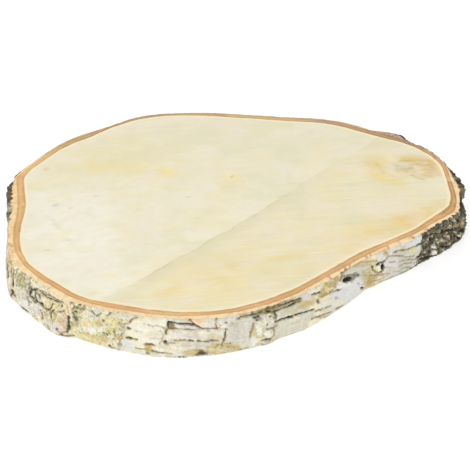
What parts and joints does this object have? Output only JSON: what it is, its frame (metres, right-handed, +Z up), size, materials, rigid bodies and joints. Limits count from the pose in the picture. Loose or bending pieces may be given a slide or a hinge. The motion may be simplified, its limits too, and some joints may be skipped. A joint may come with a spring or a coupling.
{
  "type": "wood slice",
  "caption": "Flat slice sawn across a trunk, rounded and slightly pear-shaped, with sanded faces and the rough pale bark left on its edge.",
  "frame": {"origin": "bottom centre of the slice's box, on its sawn underside", "axes": "+X along the longest extent, towards the narrow end; +Z up, across the thickness; -Y towards the side that the picture shows"},
  "size_m": [0.3504, 0.293, 0.03],
  "materials": {
    "wood": "pale sanded end grain, uncoated, with an orange inner-bark ring and rough white, grey and black bark on the edge"
  },
  "bodies": {
    "root": {"wood_slice": "wood"}
  },
  "joints": []
}
